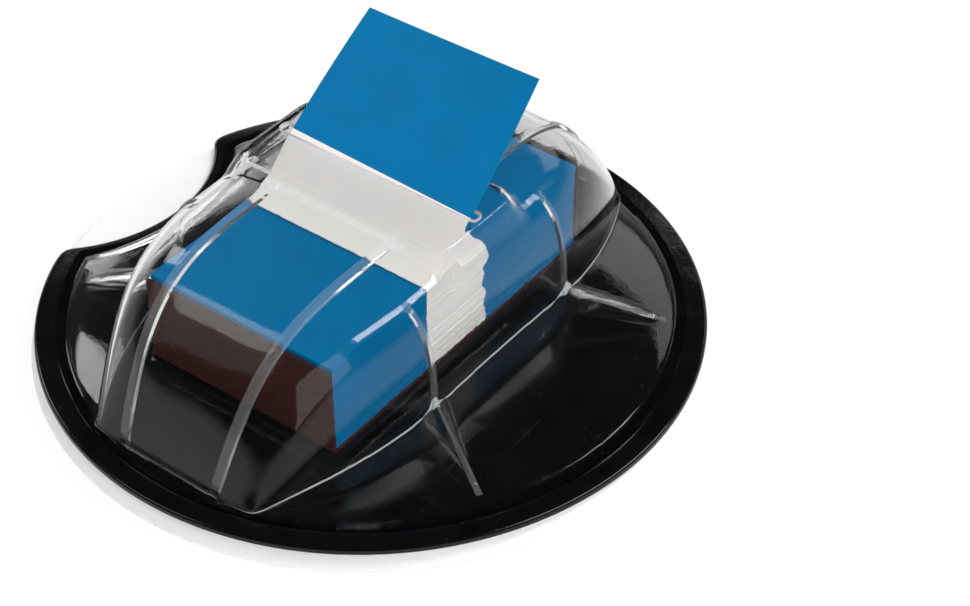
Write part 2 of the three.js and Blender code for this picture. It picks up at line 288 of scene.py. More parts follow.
def ripple_group():
    """Slow unevenness of a moulded or drawn sheet, as a height."""
    group, into, out = new_group("soft_ripple", [("Scale", 120.0), ("Fine", 0.2)], ["Height"])
    place = object_coordinates(group)
    slow = noise(group, place, into.outputs["Scale"], 1.0)
    fine = noise(group, place, 1500.0, 2.0)
    small = arithmetic(group, "MULTIPLY", fine, into.outputs["Fine"])
    group.links.new(arithmetic(group, "ADD", slow, small), out.inputs["Height"])
    return group


RIPPLE = ripple_group()
print(RIPPLE.name, "has", len(RIPPLE.nodes), "nodes")

# %% [markdown]
# ## A start for every material
#
# Each finish begins with one Principled shader. The first helper sets its plain values, and
# another places a shared effect. A colour that varies is a mix of two colours by a mask. Dust
# and scuffs lie on all the plastics alike, so one helper puts both on.

# %% Helpers for materials


def new_material(name, **values):
    """Material with one Principled shader; keywords name its sockets, with _ for a space."""
    material = bpy.data.materials.new(name)
    material.use_nodes = True
    shader = material.node_tree.nodes["Principled BSDF"]
    for label, value in values.items():
        shader.inputs[label.replace("_", " ")].default_value = value
    return material, material.node_tree, shader


def effect(tree, group, **values):
    """Places a shared group in a material with its own numbers."""
    node = tree.nodes.new("ShaderNodeGroup")
    node.node_tree = group
    for label, value in values.items():
        node.inputs[label].default_value = value
    return node.outputs[0]


def blend_colours(tree, mask, first, second):
    """Two colours mixed by a mask; either may be a socket."""
    mix = tree.nodes.new("ShaderNodeMix")
    mix.data_type = "RGBA"
    tree.links.new(mask, mix.inputs[0])
    for socket, colour in ((mix.inputs[6], first), (mix.inputs[7], second)):
        if isinstance(colour, tuple):
            socket.default_value = colour
        else:
            tree.links.new(colour, socket)
    return mix.outputs[2]


def bumped(tree, shader, height, distance, strength=0.4):
    bump = tree.nodes.new("ShaderNodeBump")
    bump.inputs["Distance"].default_value = distance
    bump.inputs["Strength"].default_value = strength
    tree.links.new(height, bump.inputs["Height"])
    tree.links.new(bump.outputs["Normal"], shader.inputs["Normal"])


def handled(tree, shader, colour, dust_colour, dust, scuffs, gloss, dulled):
    """Dust on a colour, and a gloss dulled by scuffs; dust and scuffs are (scale, strength)."""
    dusty = effect(tree, DUST, Scale=dust[0], Strength=dust[1])
    tree.links.new(blend_colours(tree, dusty, colour, dust_colour), shader.inputs["Base Color"])
    scuffed = effect(tree, SCUFFS, Scale=scuffs[0], Strength=scuffs[1])
    tree.links.new(ramp(tree, scuffed, 0, 1, gloss, dulled), shader.inputs["Roughness"])


print("a bump's usual strength:", bumped.__defaults__[0])

# %% [markdown]
# ## The grip disc
#
# The foot is a soft, milky disc, poured like a jelly and a little wider than the plate above
# it. Its rim slopes in towards the top, and its lower edge is round. It is turned about its
# middle: one outline of the section, repeated round a circle.

# %% Grip disc
ROUND_STEPS = 192
GRIP_OVERHANG = 0.95 * MM
GRIP_LIP = 0.45 * MM
GRIP_SLOPE = 1.6
GRIP_TOP_BEVEL = 0.1 * MM


def turned_points(profile):
    """Points and faces of a profile of (radius, height), turned about Z, closed at both ends."""
    angles = np.arange(ROUND_STEPS) * 2 * math.pi / ROUND_STEPS
    points = [(0, 0, profile[0][1])]
    for radius, height in profile:
        points += [(radius * math.cos(a), radius * math.sin(a), height) for a in angles]
    points.append((0, 0, profile[-1][1]))
    faces = []
    for step in range(ROUND_STEPS):
        after = (step + 1) % ROUND_STEPS
        faces.append((0, 1 + after, 1 + step))
        for ring in range(len(profile) - 1):
            a, b = 1 + ring * ROUND_STEPS + step, 1 + ring * ROUND_STEPS + after
            faces.append((a, b, b + ROUND_STEPS, a + ROUND_STEPS))
        top = 1 + (len(profile) - 1) * ROUND_STEPS
        faces.append((len(points) - 1, top + step, top + after))
    return points, faces


def grip_profile():
    """Round lower lip, a hollow-sided slope and a crisp top edge."""
    bottom = grip_high.x
    top = plate_high.x - GRIP_OVERHANG
    thick = grip_high.z - grip_low.z
    profile = [(bottom * share, 0) for share in (0.3, 0.7, 0.93)]
    for step in range(7):
        angle = -math.pi / 2 + step * math.pi / 12
        profile.append(
            (bottom - GRIP_LIP * (1 - math.cos(angle)), GRIP_LIP * (1 + math.sin(angle))))
    for step in range(1, 7):
        share = step / 6
        drawn_in = (bottom - top) * (1 - (1 - share) ** GRIP_SLOPE)
        profile.append((bottom - drawn_in, GRIP_LIP + (thick - GRIP_LIP - GRIP_TOP_BEVEL) * share))
    profile += [(top - 0.08 * MM, thick), (top * 0.7, thick), (top * 0.3, thick)]
    return profile


print("points in the disc's section:", len(grip_profile()))

# %% [markdown]
# ## Milky gel
#
# The gel lets light in a little way and scatters it, which gives soft shadow edges. Subsurface
# scattering of a few millimetres does that. Faint clouds in the colour keep it from looking
# like paint, and a thin coat gives the tacky shine.

# %% Milky gel and the grip disc


def grip_material():
    material, tree, shader = new_material(
        "milky_gel", Roughness=0.34, IOR=1.43, Subsurface_Weight=0.35, Subsurface_Scale=0.004,
        Coat_Weight=0.25, Coat_Roughness=0.22)
    shader.inputs["Subsurface Radius"].default_value = (1.0, 0.9, 0.8)
    clouds = ramp(tree, noise(tree, object_coordinates(tree), 90.0, 3.0), 0.35, 0.7)
    milk = blend_colours(tree, clouds, (0.94, 0.935, 0.91, 1), (0.90, 0.895, 0.865, 1))
    handled(tree, shader, milk, (0.55, 0.53, 0.5, 1), (1100.0, 0.5), (700.0, 1.0), 0.32, 0.55)
    bumped(tree, shader, effect(tree, RIPPLE, Scale=160.0, Fine=0.25), 0.0003)
    return material


points, faces = turned_points(grip_profile())
grip = mesh_object("soft_grip_disc", points, faces, [grip_material()], sharp=50)
stand_for(grip, "grip_disc")

# %% [markdown]
# ## The base plate
#
# A thin black moulding. From above it is a circle with a round bite for a fingertip. The
# outline is an arc of the rim, an arc of the bite and two soft corners where they meet. Both
# arcs come from where two circles cross, so a change of size keeps the corners in place.

# %% Outline of the plate
NOTCH_RADIUS = 18 * MM
NOTCH_DEPTH = 8.45 * MM
NOTCH_SHIFT = -0.5 * MM
NOTCH_BAND = 2.6 * MM
PLATE_BEVEL = 0.35 * MM
plate_radius = plate_high.x
plate_top = cover_low.z
notch_x = -(plate_radius - NOTCH_DEPTH) - NOTCH_RADIUS


def circle_meets_notch(radius, notch_radius, side):
    """The point where a rim circle meets a circle round the notch's middle; side is +1 or -1."""
    middle = np.array([notch_x, NOTCH_SHIFT])
    far = np.linalg.norm(middle)
    along = (radius ** 2 - notch_radius ** 2 + far ** 2) / (2 * far)
    off = math.sqrt(radius ** 2 - along ** 2)
    unit = middle / far
    return unit * along + side * off * np.array([unit[1], -unit[0]])


def notched_circle(radius, notch_radius, count=260, bite=70):
    """Counterclockwise circle with the notch bitten out of its -X side."""
    upper = circle_meets_notch(radius, notch_radius, 1)
    lower = circle_meets_notch(radius, notch_radius, -1)
    if upper[1] < lower[1]:
        upper, lower = lower, upper
    first = math.atan2(lower[1], lower[0]) % (2 * math.pi) - 2 * math.pi
    last = math.atan2(upper[1], upper[0])
    rim = [(radius * math.cos(a), radius * math.sin(a)) for a in np.linspace(first, last, count)]
    high = math.atan2(upper[1] - NOTCH_SHIFT, upper[0] - notch_x)
    low = math.atan2(lower[1] - NOTCH_SHIFT, lower[0] - notch_x)
    bite_points = [
        (notch_x + notch_radius * math.cos(a), NOTCH_SHIFT + notch_radius * math.sin(a))
        for a in np.linspace(high, low, bite)[1:-1]
    ]
    return np.array(rim + bite_points)


def softened(outline, rounds=6):
    """Rounds an outline's corners a little by drawing each point towards its neighbours."""
    for _ in range(rounds):
        middle = (np.roll(outline, 1, 0) + np.roll(outline, -1, 0)) / 2
        turn = np.linalg.norm(middle - outline, axis=1) > 0.02 * MM
        outline = np.where(turn[:, None], outline * 0.5 + middle * 0.5, outline)
    return outline


print("points in the plate's outline:", len(notched_circle(plate_radius, NOTCH_RADIUS)))

# %% [markdown]
# ## Black plastic
#
# Black plastic is seen almost only by what it mirrors. The colour stays near zero, with a slow
# change of tone, and the life comes from the gloss: smooth, with scuffs that dull it and a
# faint waviness.

# %% Black plastic


def black_material():
    material, tree, shader = new_material(
        "black_moulded_plastic", IOR=1.49, Specular_IOR_Level=0.3)
    place = object_coordinates(tree)
    tone = ramp(tree, noise(tree, place, 220.0, 4.0), 0.3, 0.75)
    black = blend_colours(tree, tone, (0.0012, 0.0012, 0.0014, 1), (0.0035, 0.0035, 0.004, 1))
    handled(tree, shader, black, (0.12, 0.12, 0.12, 1), (1500.0, 0.35), (1000.0, 1.0), 0.13, 0.38)
    bumped(tree, shader, effect(tree, RIPPLE, Scale=260.0, Fine=0.3), 0.0002, 0.25)
    return material


BLACK = black_material()
print(BLACK.name, "has", len(BLACK.node_tree.nodes), "nodes")

# %% [markdown]
# ## Plate and platform
#
# The outline is stacked at a few insets, which gives the narrow rounded bevel along the upper
# edge. A low platform with round corners carries the card and the pad. It is a second stack in
# the same mesh, let a little into the plate so that no gap can show.

# %% Build the plate
PLATE_LIP = 0.12 * MM
PLATFORM_MARGIN = 0.9 * MM
PLATFORM_CORNER = 1.9 * MM
PLATFORM_EDGE = 0.3 * MM
PLATFORM_SINK = 0.1 * MM
EDGE_BREAK = 0.09 * MM

edge_steps = [(PLATE_LIP, plate_low.z), (0.0, plate_low.z + PLATE_LIP)]
for step in range(5):
    turn = step * math.pi / 8
    inset = PLATE_BEVEL * (1 - math.cos(turn))
    edge_steps.append((inset, plate_top - PLATE_BEVEL * (1 - math.sin(turn))))
points, faces = stacked(softened(notched_circle(plate_radius, NOTCH_RADIUS)), edge_steps)

right, left = card_high.x + PLATFORM_MARGIN, card_low.x - PLATFORM_MARGIN
back, front = card_high.y + PLATFORM_MARGIN, card_low.y - PLATFORM_MARGIN
platform = rounded([(right, front), (right, back), (left, back), (left, front)], PLATFORM_CORNER)
step_points, step_faces = stacked(platform, [
    (0, plate_top - PLATFORM_SINK), (0, card_low.z - PLATFORM_EDGE),
    (EDGE_BREAK, card_low.z - EDGE_BREAK), (PLATFORM_EDGE, card_low.z)])
faces += [tuple(index + len(points) for index in face) for face in step_faces]
points += step_points
plate = mesh_object("black_base_plate", points, faces, [BLACK], sharp=40)
stand_for(plate, "base_plate")

# %% [markdown]
# ## The card cradle
#
# One strip of card, creased up at both ends, keeps the pad from sliding. Its near-black maroon
# is partly the card's own colour and partly painted shade, standing for the shaded front end of
# the pad. Its section is drawn from the side as a thin U with round folds, and pushed out across
# the pad's width.

# %% Card cradle
CARD = 0.4 * MM
FOLD = 0.45 * MM


def card_painted_shade_material():
    material, tree, shader = new_material("dark_card_painted_shade", Roughness=0.78, Specular_IOR_Level=0.2)
    place = object_coordinates(tree)
    fibres = noise(tree, place, 2600.0, 4.0, (1, 0.25, 1))
    tone = ramp(tree, fibres, 0.3, 0.72)
    # painted shade: this near-black maroon also stands for the shade on the pad's front end
    brown_and_painted_shade = blend_colours(tree, tone, (0.024, 0.006, 0.005, 1), (0.046, 0.013, 0.010, 1))
    tree.links.new(brown_and_painted_shade, shader.inputs["Base Color"])
    bumped(tree, shader, fibres, 0.0001, 0.5)
    return material


def cradle_section():
    """The U of the card from the side: (along Y, height), inner side last."""
    low, high = card_low.z, card_high.z
    outer, inner = card_high.y, card_high.y - CARD
    right = [(outer, high), (inner, high)]
    corner_out = [(outer - FOLD * (1 - math.cos(a)), low + FOLD * (1 - math.sin(a)))
                  for a in np.linspace(0, math.pi / 2, 6)]
    bend = FOLD - CARD * 0.7
    corner_in = [(inner - bend * (1 - math.cos(a)), low + CARD + bend * (1 - math.sin(a)))
                 for a in np.linspace(math.pi / 2, 0, 4)]
    half = [right[0], *corner_out]
    inside = [*corner_in, right[1]]
    mirror = [(-y, z) for y, z in reversed(half)]
    mirror_inside = [(-y, z) for y, z in reversed(inside)]
    return half + mirror + mirror_inside + inside


section = cradle_section()
count = len(section)
points = [(x, y, z) for x in (card_low.x, card_high.x) for y, z in section]
faces = [(a, a + count, (a + 1) % count + count, (a + 1) % count) for a in range(count)]
faces += [tuple(range(count)), tuple(range(2 * count - 1, count - 1, -1))]
cradle = mesh_object("folded_card_cradle", points, faces, [card_painted_shade_material()])
stand_for(cradle, "pad_cradle")

# %% [markdown]
# ## Flag paper
#
# The flags are film-like paper, blue at the ends and milky in the middle. Both colours have the
# same satin tooth, so one function makes both finishes. The gloss is kept low, because a strong
# shine would wash the blue out.

# %% Paper finishes


def paper_material(name, light, deep, roughness, through):
    """Satin film-paper: two near tones in soft clouds and a fine tooth."""
    material, tree, shader = new_material(
        name, Roughness=roughness, IOR=1.45, Subsurface_Weight=through, Subsurface_Scale=0.0008,
        Specular_IOR_Level=0.06)
    place = object_coordinates(tree)
    clouds = ramp(tree, noise(tree, place, 130.0, 3.0), 0.3, 0.7)
    tooth = noise(tree, place, 4200.0, 3.0)
    tree.links.new(blend_colours(tree, clouds, light, deep), shader.inputs["Base Color"])
    tree.links.new(ramp(tree, tooth, 0.3, 0.7, roughness - 0.05, roughness + 0.07),
                   shader.inputs["Roughness"])
    bumped(tree, shader, tooth, 0.00004, 0.35)
    return material


BLUE = paper_material(
    "blue_flag_paper", (0.0, 0.158, 0.360, 1), (0.001, 0.142, 0.335, 1), 0.42, 0.0)
WHITE = paper_material(
    "milky_flag_paper", (0.86, 0.795, 0.775, 1), (0.81, 0.75, 0.73, 1), 0.46, 0.1)
print("paper finishes:", BLUE.name, WHITE.name)

# %% [markdown]
# ## The pad of flags
#
# A pad is a stack of thin flags, each blue at both ends and milky in its middle. They never lie
# quite true, so the white band down the side has a wavering edge. The stack is made sheet by
# sheet, each moved by a hair, with its colours split at its own place. The colours are two
# materials on the faces of one mesh. The random numbers start from a fixed seed, so the pad
# comes out the same each time.

# %% The pad
rng = np.random.default_rng(7)
BAND_FRONT = -5.7 * MM
BAND_BACK = 4.4 * MM
LEAF = 0.22 * MM
LEAF_AIR = 0.94
DRIFT = 0.055
PLAY = 0.09
WAVE = 0.25 * MM
WAVE_STEP = 0.47


def leaf_block(x, front, back, low, high, split_front, split_back):
    """One flag, or a few as one: a thin block in three lengths, blue, white and blue.

    x holds the places of its left and right sides.
    """
    ys = [front, split_front, split_back, back]
    points = [(side, y, z) for y in ys for z in (low, high) for side in x]
    faces, slots = [], []
    for piece in range(3):
        a = piece * 4
        for ring in ((0, 1, 5, 4), (1, 3, 7, 5), (3, 2, 6, 7), (2, 0, 4, 6)):
            faces.append(tuple(a + corner for corner in ring))
            slots.append(1 if piece == 1 else 0)
    faces += [(0, 2, 3, 1), (12, 13, 15, 14)]
    slots += [0, 0]
    return points, faces, slots


def pad_mesh():
    points, faces, slots = [], [], []
    leaves = round((pad_high.z - pad_low.z) / LEAF)
    thick = (pad_high.z - pad_low.z) / leaves
    drift = np.cumsum(rng.normal(0, DRIFT, leaves)) * MM
    drift -= np.linspace(drift[0], drift[-1], leaves)
    for leaf in range(leaves):
        shift = rng.uniform(0, PLAY, 4) * MM
        low = pad_low.z + leaf * thick
        wave = drift[leaf] + WAVE * math.sin(leaf * WAVE_STEP)
        block = leaf_block(
            (pad_low.x + shift[0], pad_high.x - shift[1]),
            pad_low.y + shift[2], pad_high.y - shift[3], low, low + thick * LEAF_AIR,
            BAND_FRONT + drift[leaf] * 0.3, BAND_BACK + wave)
        faces += [tuple(index + len(points) for index in face) for face in block[1]]
        points += block[0]
        slots += block[2]
    return points, faces, slots


points, faces, slots = pad_mesh()
pad = mesh_object("flag_stack", points, faces, [BLUE, WHITE], slots, sharp=30)
stand_for(pad, "flag_pad")

# %% [markdown]
# ## The cover's form
#
# The cover is one sheet drawn over a low dome with a long hump across it. Three ideas describe
# it. The dome's height falls with the distance from the middle. The hump has a rounded-square
# section, and its height and width change along its length. Ribs and fins stand a little
# proud of both. Because each is a formula, the sheet can be sampled where its edges are.

# %% Sizes of the cover
SHEET = 0.6 * MM
FLANGE_THICKNESS = 0.5 * MM
FLANGE_WIDTH = 1.2 * MM
SHOULDER_RISE = 3.9 * MM
BOSS_HEIGHT = 1.1 * MM
SIDE_ROOM = 5.9 * MM
END_NARROWING = 7.8 * MM
SIDE_STRAIGHT = 10 * MM
WALL_DRAFT = 0.04
RIB_WIDTH = 1.1 * MM
RIB_HEIGHT = 0.42 * MM
RIB_SPREAD_TOP = 8.2 * MM
RIB_SPREAD_FOOT = 6.3 * MM
CROSS_RIB_PLACE = 11.8 * MM
CROSS_RIB_START = 14.4 * MM
CROSS_RIB_FADE = 1.5 * MM
CROSS_RIB_HALF = 0.28 * MM
CROSS_RIB_SIDE = 0.14 * MM
CROSS_RIB_FOOT = 0.42 * MM
FIN_WIDTH = 4.2 * MM
FIN_CREST = 1.7 * MM
FIN_FOOT_MARGIN = 1.6 * MM
FIN_SPLAY = 5.3 * MM
BOSS_FRONT = -5.4 * MM
BOSS_BACK = 8.0 * MM
BOSS_SIDE = 14.9 * MM
BOSS_CORNER = 2 * MM
BOSS_SIDE_SLOPE = 1.6
BOSS_BLEND = 0.14 * MM
BOSS_EASE = 0.3 * MM
BOSS_ROOT = 1.5 * MM
BOSS_DEPTH = 2.4 * MM
SLOT_GAP = 1.6 * MM
SLOT_PLACE = 2 * MM
SLOT_SIDE = 13.9 * MM
SLOT_BELOW = 0.5 * MM
SLOT_ABOVE = 1 * MM
SLOT_CORNER = 0.5 * MM
RIM_ROOM = 0.2 * MM

cover_radius = cover_high.x
shoulder_radius = cover_radius - FLANGE_WIDTH
hump_half_length = shoulder_radius - RIM_ROOM
hump_half_width = pad_high.x + SIDE_ROOM
boss_top = cover_high.z
hump_top = boss_top - BOSS_HEIGHT
flange_top = plate_top + FLANGE_THICKNESS
print("cover radius, hump height over the plate in mm:",
      round(cover_radius / MM, 2), round((hump_top - plate_top) / MM, 2))

# %% [markdown]
# ## Hump and shoulder as formulas
#
# Seen from the side the hump is a long arch with steep ends. Across, its section is a
# superellipse, a square with generous corners, and the corners grow rounder towards the
# ends. The shoulder is a shallow dome that rolls down to a flat flange at its rim.

# %% Hump and shoulder
ARCH_FULLNESS = 6
ARCH_EASE = 1.17
FOOT_INSET = 0.35 * MM
SECTION_FULLNESS = 5.2
SECTION_SOFTENS = 2.6
DOME_FULLNESS = 0.8
NOTCH_ROLL = 1.8 * MM


def arch_height(y):
    share = min(abs(y) / hump_half_length, 1)
    return plate_top + (hump_top - plate_top) * max(1 - share ** ARCH_FULLNESS, 0) ** ARCH_EASE


def foot_half_width(y):
    past = max(abs(y) - SIDE_STRAIGHT, 0) / (hump_half_length - SIDE_STRAIGHT)
    inside = math.sqrt(max((cover_radius - FOOT_INSET) ** 2 - y ** 2, 0))
    return min(hump_half_width - END_NARROWING * past ** 2, inside)


def section_curve(y, angles):
    """The hump's section at y: arrays of x and height for angles from the foot up."""
    power = 2 / (SECTION_FULLNESS - SECTION_SOFTENS * min(abs(y) / hump_half_length, 1) ** 3)
    rise = arch_height(y) - plate_top
    up = np.sin(angles) ** power
    draft = 1 - WALL_DRAFT * up * rise / (hump_top - plate_top)
    return foot_half_width(y) * np.cos(angles) ** power * draft, plate_top + rise * up


def notch_distance(x, y):
    """How far a place in plan lies outside the circle where the shoulder stops at the notch."""
    return np.hypot(x - notch_x, y - NOTCH_SHIFT) - (NOTCH_RADIUS + NOTCH_BAND)


def shoulder_height(x, y):
    """Height of the low dome, which rounds down to the flange at its rim and at the notch."""
    share = np.clip(np.hypot(x, y) / shoulder_radius, 0, 1)
    rise = SHOULDER_RISE * (1 - share ** 2) ** DOME_FULLNESS
    near = np.clip(notch_distance(x, y) / NOTCH_ROLL, 0, 1)
    return flange_top + rise * np.sqrt(1 - (1 - near) ** 2)


print("hump width at its foot in mm:", round(2 * foot_half_width(0) / MM, 1))

# %% [markdown]
# ## Fins on the shoulders
#
# Where each cross rib reaches the shoulder it runs on as a thin fin, tall at the wall and
# tapering to a point near the rim. A fin's height at any place follows from two numbers: how
# far along the fin the place is, and how far to its side.

# %% Fin height
FIN_INSET = 0.6 * MM
FIN_TIP_WIDTH = 0.25 * MM
FIN_TIP_HEIGHT = 0.22 * MM
fin_start = np.array([foot_half_width(CROSS_RIB_PLACE) - FIN_INSET, CROSS_RIB_PLACE])
fin_foot_y = CROSS_RIB_PLACE + FIN_SPLAY
fin_foot_radius = shoulder_radius - FIN_FOOT_MARGIN
fin_foot = np.array([math.sqrt(fin_foot_radius ** 2 - fin_foot_y ** 2), fin_foot_y])
fin_axis = fin_foot - fin_start
fin_length = float(np.linalg.norm(fin_axis))
fin_axis /= fin_length


def fin_rise(x, y):
    """How far the fins stand over the shoulder at a place in plan, on any of the four sides."""
    offset = np.stack([np.abs(x) - fin_start[0], np.abs(y) - fin_start[1]], -1)
    along = offset @ fin_axis / fin_length
    aside = np.abs(offset @ np.array([-fin_axis[1], fin_axis[0]]))
    left = np.clip(1 - along, 0, 1)
    half = FIN_WIDTH / 2 * left + FIN_TIP_WIDTH
    profile = np.clip(1 - aside / half, 0, 1)
    crisp = 0.72 * profile ** 1.25 + 0.28 * np.clip(profile * 5 - 3.6, 0, 1)
    ends = np.clip((1.02 - along) * 14, 0, 1)
    return (FIN_CREST * left + FIN_TIP_HEIGHT) * crisp * ends * (along > -0.3)


print("fin length in mm:", round(fin_length / MM, 1))

# %% [markdown]
# ## Sampling the sheet
#
# Rows of points run across the dispenser and columns run along it. Rows sit on the cross ribs,
# the boss's ends and the hump's feet, close together only where something changes. Past the
# valley between hump and shoulder they fan out like spokes, so one of them lies along each
# fin. Edges then stay clean with few points.

# %% Rows of the grid
WALL_STEPS = 40
TOP_STEPS = 12
SHOULDER_STEPS = 30
FLANGE_STEPS = 3
RIB_SIDE = 0.14 * MM
CREASE = 0.28 * MM


def spaced(breaks, pitch):
    """Places from the first break to the last, at about the pitch, with every break kept."""
    places = [breaks[0]]
    for low, high in zip(breaks, breaks[1:]):
        steps = max(1, round((high - low) / pitch))
        places += [low + (high - low) * step / steps for step in range(1, steps + 1)]
    return places


def rim_point(y, side):
    """Where the row that leaves the valley at y reaches the cover's outer circle."""
    straight = min(abs(y) / CROSS_RIB_PLACE, 1)
    fin_angle = math.asin(fin_foot[1] / fin_foot_radius)
    end_angle = math.asin(min(end_y / cover_radius, 1))
    if straight < 1:
        angle = fin_angle * abs(y) / CROSS_RIB_PLACE
    else:
        share = (abs(y) - CROSS_RIB_PLACE) / (end_y - CROSS_RIB_PLACE)
        angle = fin_angle + (end_angle - fin_angle) * share
    out, along = cover_radius * math.cos(angle), cover_radius * math.sin(angle)
    return np.array([side * out, math.copysign(along, y)])


end_y = hump_half_length - 0.12 * MM
half_rows = [0, 1.2 * MM, 5.2 * MM, 5.6 * MM, 7.8 * MM, 8.2 * MM,
             CROSS_RIB_PLACE - CROSS_RIB_FOOT, CROSS_RIB_PLACE - CROSS_RIB_HALF, CROSS_RIB_PLACE,
             CROSS_RIB_PLACE + CROSS_RIB_HALF, CROSS_RIB_PLACE + CROSS_RIB_FOOT, 22 * MM, 30 * MM]
positive = spaced(half_rows, 0.5 * MM) + spaced([30 * MM, 33.2 * MM, end_y], 0.3 * MM)[1:]
rows = [-y for y in reversed(positive[1:])] + positive
print("rows:", len(rows))

# %% [markdown]
# ## One row of points
#
# Columns sit on the rib's edges, in the valley where hump meets shoulder, and on the rim. A
# row is therefore built in stretches: over the top to the rib, down the wall at even steps to
# the valley, and out over the shoulder, where it stops at the rim or at the notch.

# %% One row of points


def first_crossing(start, end, radius, middle=(0, 0), leaving=True):
    """Share of the way from start to end at which the line crosses a circle, or None."""
    step = np.subtract(end, start)
    off = np.subtract(start, middle)
    a, b, c = step @ step, 2 * off @ step, off @ off - radius ** 2
    inside = b * b - 4 * a * c
    if inside < 0:
        return None
    share = (-b + (1 if leaving else -1) * math.sqrt(inside)) / (2 * a)
    return share if 0 <= share <= 1 else None


def half_row(y, side):
    """One row from the middle to the rim on one side: plan places, heights and marks."""
    spread = min(abs(y) / hump_half_length, 1) ** 4
    rib = RIB_SPREAD_TOP + (RIB_SPREAD_FOOT - RIB_SPREAD_TOP) * spread
    angles = np.linspace(0.001, math.pi / 2 - 0.0005, 1500)
    xs, zs = section_curve(y, angles)
    outside = zs < shoulder_height(side * xs, np.full_like(xs, y))
    valley = int(np.argmin(outside)) if not outside.all() else int(np.argmax(xs < rib + 1.2 * MM))
    strip = [rib - RIB_WIDTH / 2 - RIB_SIDE, rib - RIB_WIDTH / 2, rib, rib + RIB_WIDTH / 2,
             rib + RIB_WIDTH / 2 + RIB_SIDE]
    wall_end = int(np.argmax(xs < strip[-1]))
    run = np.hypot(np.diff(xs[valley:wall_end]), np.diff(zs[valley:wall_end]))
    travelled = np.concatenate([[0], np.cumsum(run)])
    even = np.linspace(0, travelled[-1], WALL_STEPS)
    wanted = np.concatenate([[0, min(CREASE, even[1] * 0.8)], even[1:]])
    wall_x = np.interp(wanted, travelled, xs[valley:wall_end])[::-1]
    wall_z = np.interp(wanted, travelled, zs[valley:wall_end])[::-1]
    inner_x = np.concatenate([np.linspace(0, strip[0], TOP_STEPS + 1), strip[1:]])
    inner_z = np.interp(inner_x, xs[::-1], zs[::-1])
    hump_x = np.concatenate([inner_x, wall_x[1:]])
    hump_z = np.concatenate([inner_z, wall_z[1:]])
    start = np.array([side * hump_x[-1], y])
    end = rim_point(y, side)
    stop, bend = 1.0, first_crossing(start, end, shoulder_radius)
    if side < 0:
        edge = first_crossing(start, end, NOTCH_RADIUS + NOTCH_BAND - FLANGE_WIDTH,
                              (notch_x, NOTCH_SHIFT), leaving=False)
        turn = first_crossing(start, end, NOTCH_RADIUS + NOTCH_BAND,
                              (notch_x, NOTCH_SHIFT), leaving=False)
        stop = edge if edge is not None else stop
        bend = min(value for value in (turn, bend, stop) if value is not None)
    bend = min(bend if bend is not None else 0.3, stop * 0.97)
    eased = 1 - (1 - np.linspace(0, 1, SHOULDER_STEPS + 1)[1:]) ** 1.25
    shares = np.concatenate([bend * eased, np.linspace(bend, stop, FLANGE_STEPS + 1)[1:]])
    outer = start + (end - start) * shares[:, None]
    plan = np.concatenate([np.stack([side * hump_x, np.full_like(hump_x, y)], 1), outer])
    heights = np.concatenate([hump_z, shoulder_height(outer[:, 0], outer[:, 1])])
    return plan, np.maximum(heights, flange_top)


first_plan, _ = half_row(0, 1)
HALF = len(first_plan)
STRIP = slice(TOP_STEPS + 1, TOP_STEPS + 4)
VALLEY = TOP_STEPS + 4 + WALL_STEPS
print("columns on each side:", HALF, "valley at column", VALLEY)

# %% [markdown]
# ## The cover's outer skin
#
# The rows are joined to a grid of points. Beyond the hump's feet three more rows run out to the
# round rim. The skin's normals come from the grid itself: the cross product of the steps
# along and across it.

# %% Outer skin


def grid_normals(grid):
    along = np.gradient(grid, axis=1)
    down = np.gradient(grid, axis=0)
    normals = np.cross(along, down)
    normals /= np.linalg.norm(normals, axis=2)[:, :, None] + 1e-12
    return normals


def whole_row(y):
    right, right_z = half_row(y, 1)
    left, left_z = half_row(y, -1)
    plan = np.concatenate([left[:0:-1], right])
    heights = np.concatenate([left_z[:0:-1], right_z])
    return np.column_stack([plan, heights])


def end_rows(row):
    """Rows that carry the grid from the hump's foot out to the round rim."""
    made = []
    for share in (0.25, 0.6, 1.0):
        x, y = row[:, 0], row[:, 1]
        rim_x = np.clip(x, -cover_radius, cover_radius)
        rim_y = np.sign(y) * np.sqrt(np.maximum(cover_radius ** 2 - rim_x ** 2, 0))
        moved = row.copy()
        moved[:, 1] = y + (np.where(np.abs(rim_y) > np.abs(y), rim_y, y) - y) * share
        moved[:, 2] = flange_top
        made.append(moved)
    return made


body_rows = [whole_row(y) for y in rows]
grid = np.array(list(reversed(end_rows(body_rows[0]))) + body_rows + end_rows(body_rows[-1]))
LEAD = 3
skin_rows, skin_columns = grid.shape[:2]
MIDDLE = HALF - 1
base_normals = grid_normals(grid)
print("outer skin grid:", skin_rows, "by", skin_columns)

# %% [markdown]
# ## Ribs, fins and boss
#
# A rib is a strip of grid points lifted along their normals, so one on a steep wall stands
# out sideways as it should. The boss is different: it has a height of its own, and the skin
# takes whichever is higher. A small blend between the two rounds the inner corner.

# %% Ribs, fins and boss


def smooth_step(value):
    value = np.clip(value, 0, 1)
    return value * value * (3 - 2 * value)


